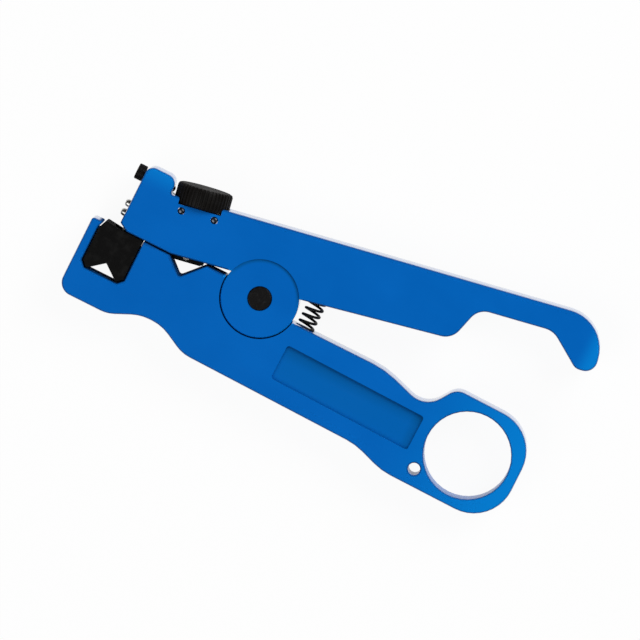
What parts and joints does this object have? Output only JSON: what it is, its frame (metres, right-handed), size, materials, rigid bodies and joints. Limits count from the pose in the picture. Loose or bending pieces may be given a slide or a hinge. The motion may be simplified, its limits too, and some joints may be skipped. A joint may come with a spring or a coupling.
{
  "type": "cable slitter",
  "caption": "Plier-like hand tool that slits and rings round cable: crossed moulded levers, sprung jaws, blade guide, knob-set ringing blade and finger ring.",
  "frame": {"origin": "on the pivot axis, in the plane of the front faces, at the middle of the pivot barrel's flat head", "axes": "+X runs along the lower lever towards its finger ring, +Y towards the upper lever, +Z out of the front face"},
  "size_m": [0.1409, 0.0631, 0.0155],
  "materials": {
    "blue_plastic": "satin moulded",
    "black_plastic": "satin moulded",
    "black_steel": "black oxide",
    "bright_steel": "ground"
  },
  "bodies": {
    "lower_jaw": {"lower_lever": "blue_plastic", "pivot_barrel": "black_steel", "pivot_screw": "black_steel", "return_spring": "black_steel", "cable_guide": "black_plastic"},
    "upper_jaw": {"upper_lever": "blue_plastic", "slit_blade": "bright_steel", "slit_blade_clamp": "black_steel", "clamp_screw_lower": "bright_steel", "clamp_screw_upper": "bright_steel", "knob_pin_left": "bright_steel", "knob_pin_right": "bright_steel", "detent_screw": "black_steel", "detent_spring": "bright_steel", "detent_ball": "bright_steel"},
    "knob": {"depth_knob": "black_plastic", "depth_spindle": "bright_steel"},
    "ring_holder": {"ring_blade_holder": "black_plastic", "ring_blade": "black_steel", "ring_blade_screw": "bright_steel"}
  },
  "joints": [
    {"name": "squeeze", "type": "hinge", "parent": "lower_jaw", "child": "upper_jaw", "pos_m": [0, 0, 0], "axis": [0, 0, -1], "range_deg": [0, 18.5], "stiffness_Nm_per_rad": 0.6, "springref_deg": -8.59, "deforming": ["return_spring"]},
    {"name": "knob_turn", "type": "hinge", "parent": "upper_jaw", "child": "knob", "pos_m": [-0.02208, -0.00409, -0.00525], "axis": [-0.1822, 0.9833, 0], "range_deg": [0, 1260]},
    {"name": "blade_depth", "type": "slide", "parent": "upper_jaw", "child": "ring_holder", "axis": [-0.1822, 0.9833, 0], "range_m": [0, 0.00245]}
  ],
  "couplings": [
    {"joint": "blade_depth", "follows": "knob_turn", "m_per_rad": 0.00011141}
  ]
}
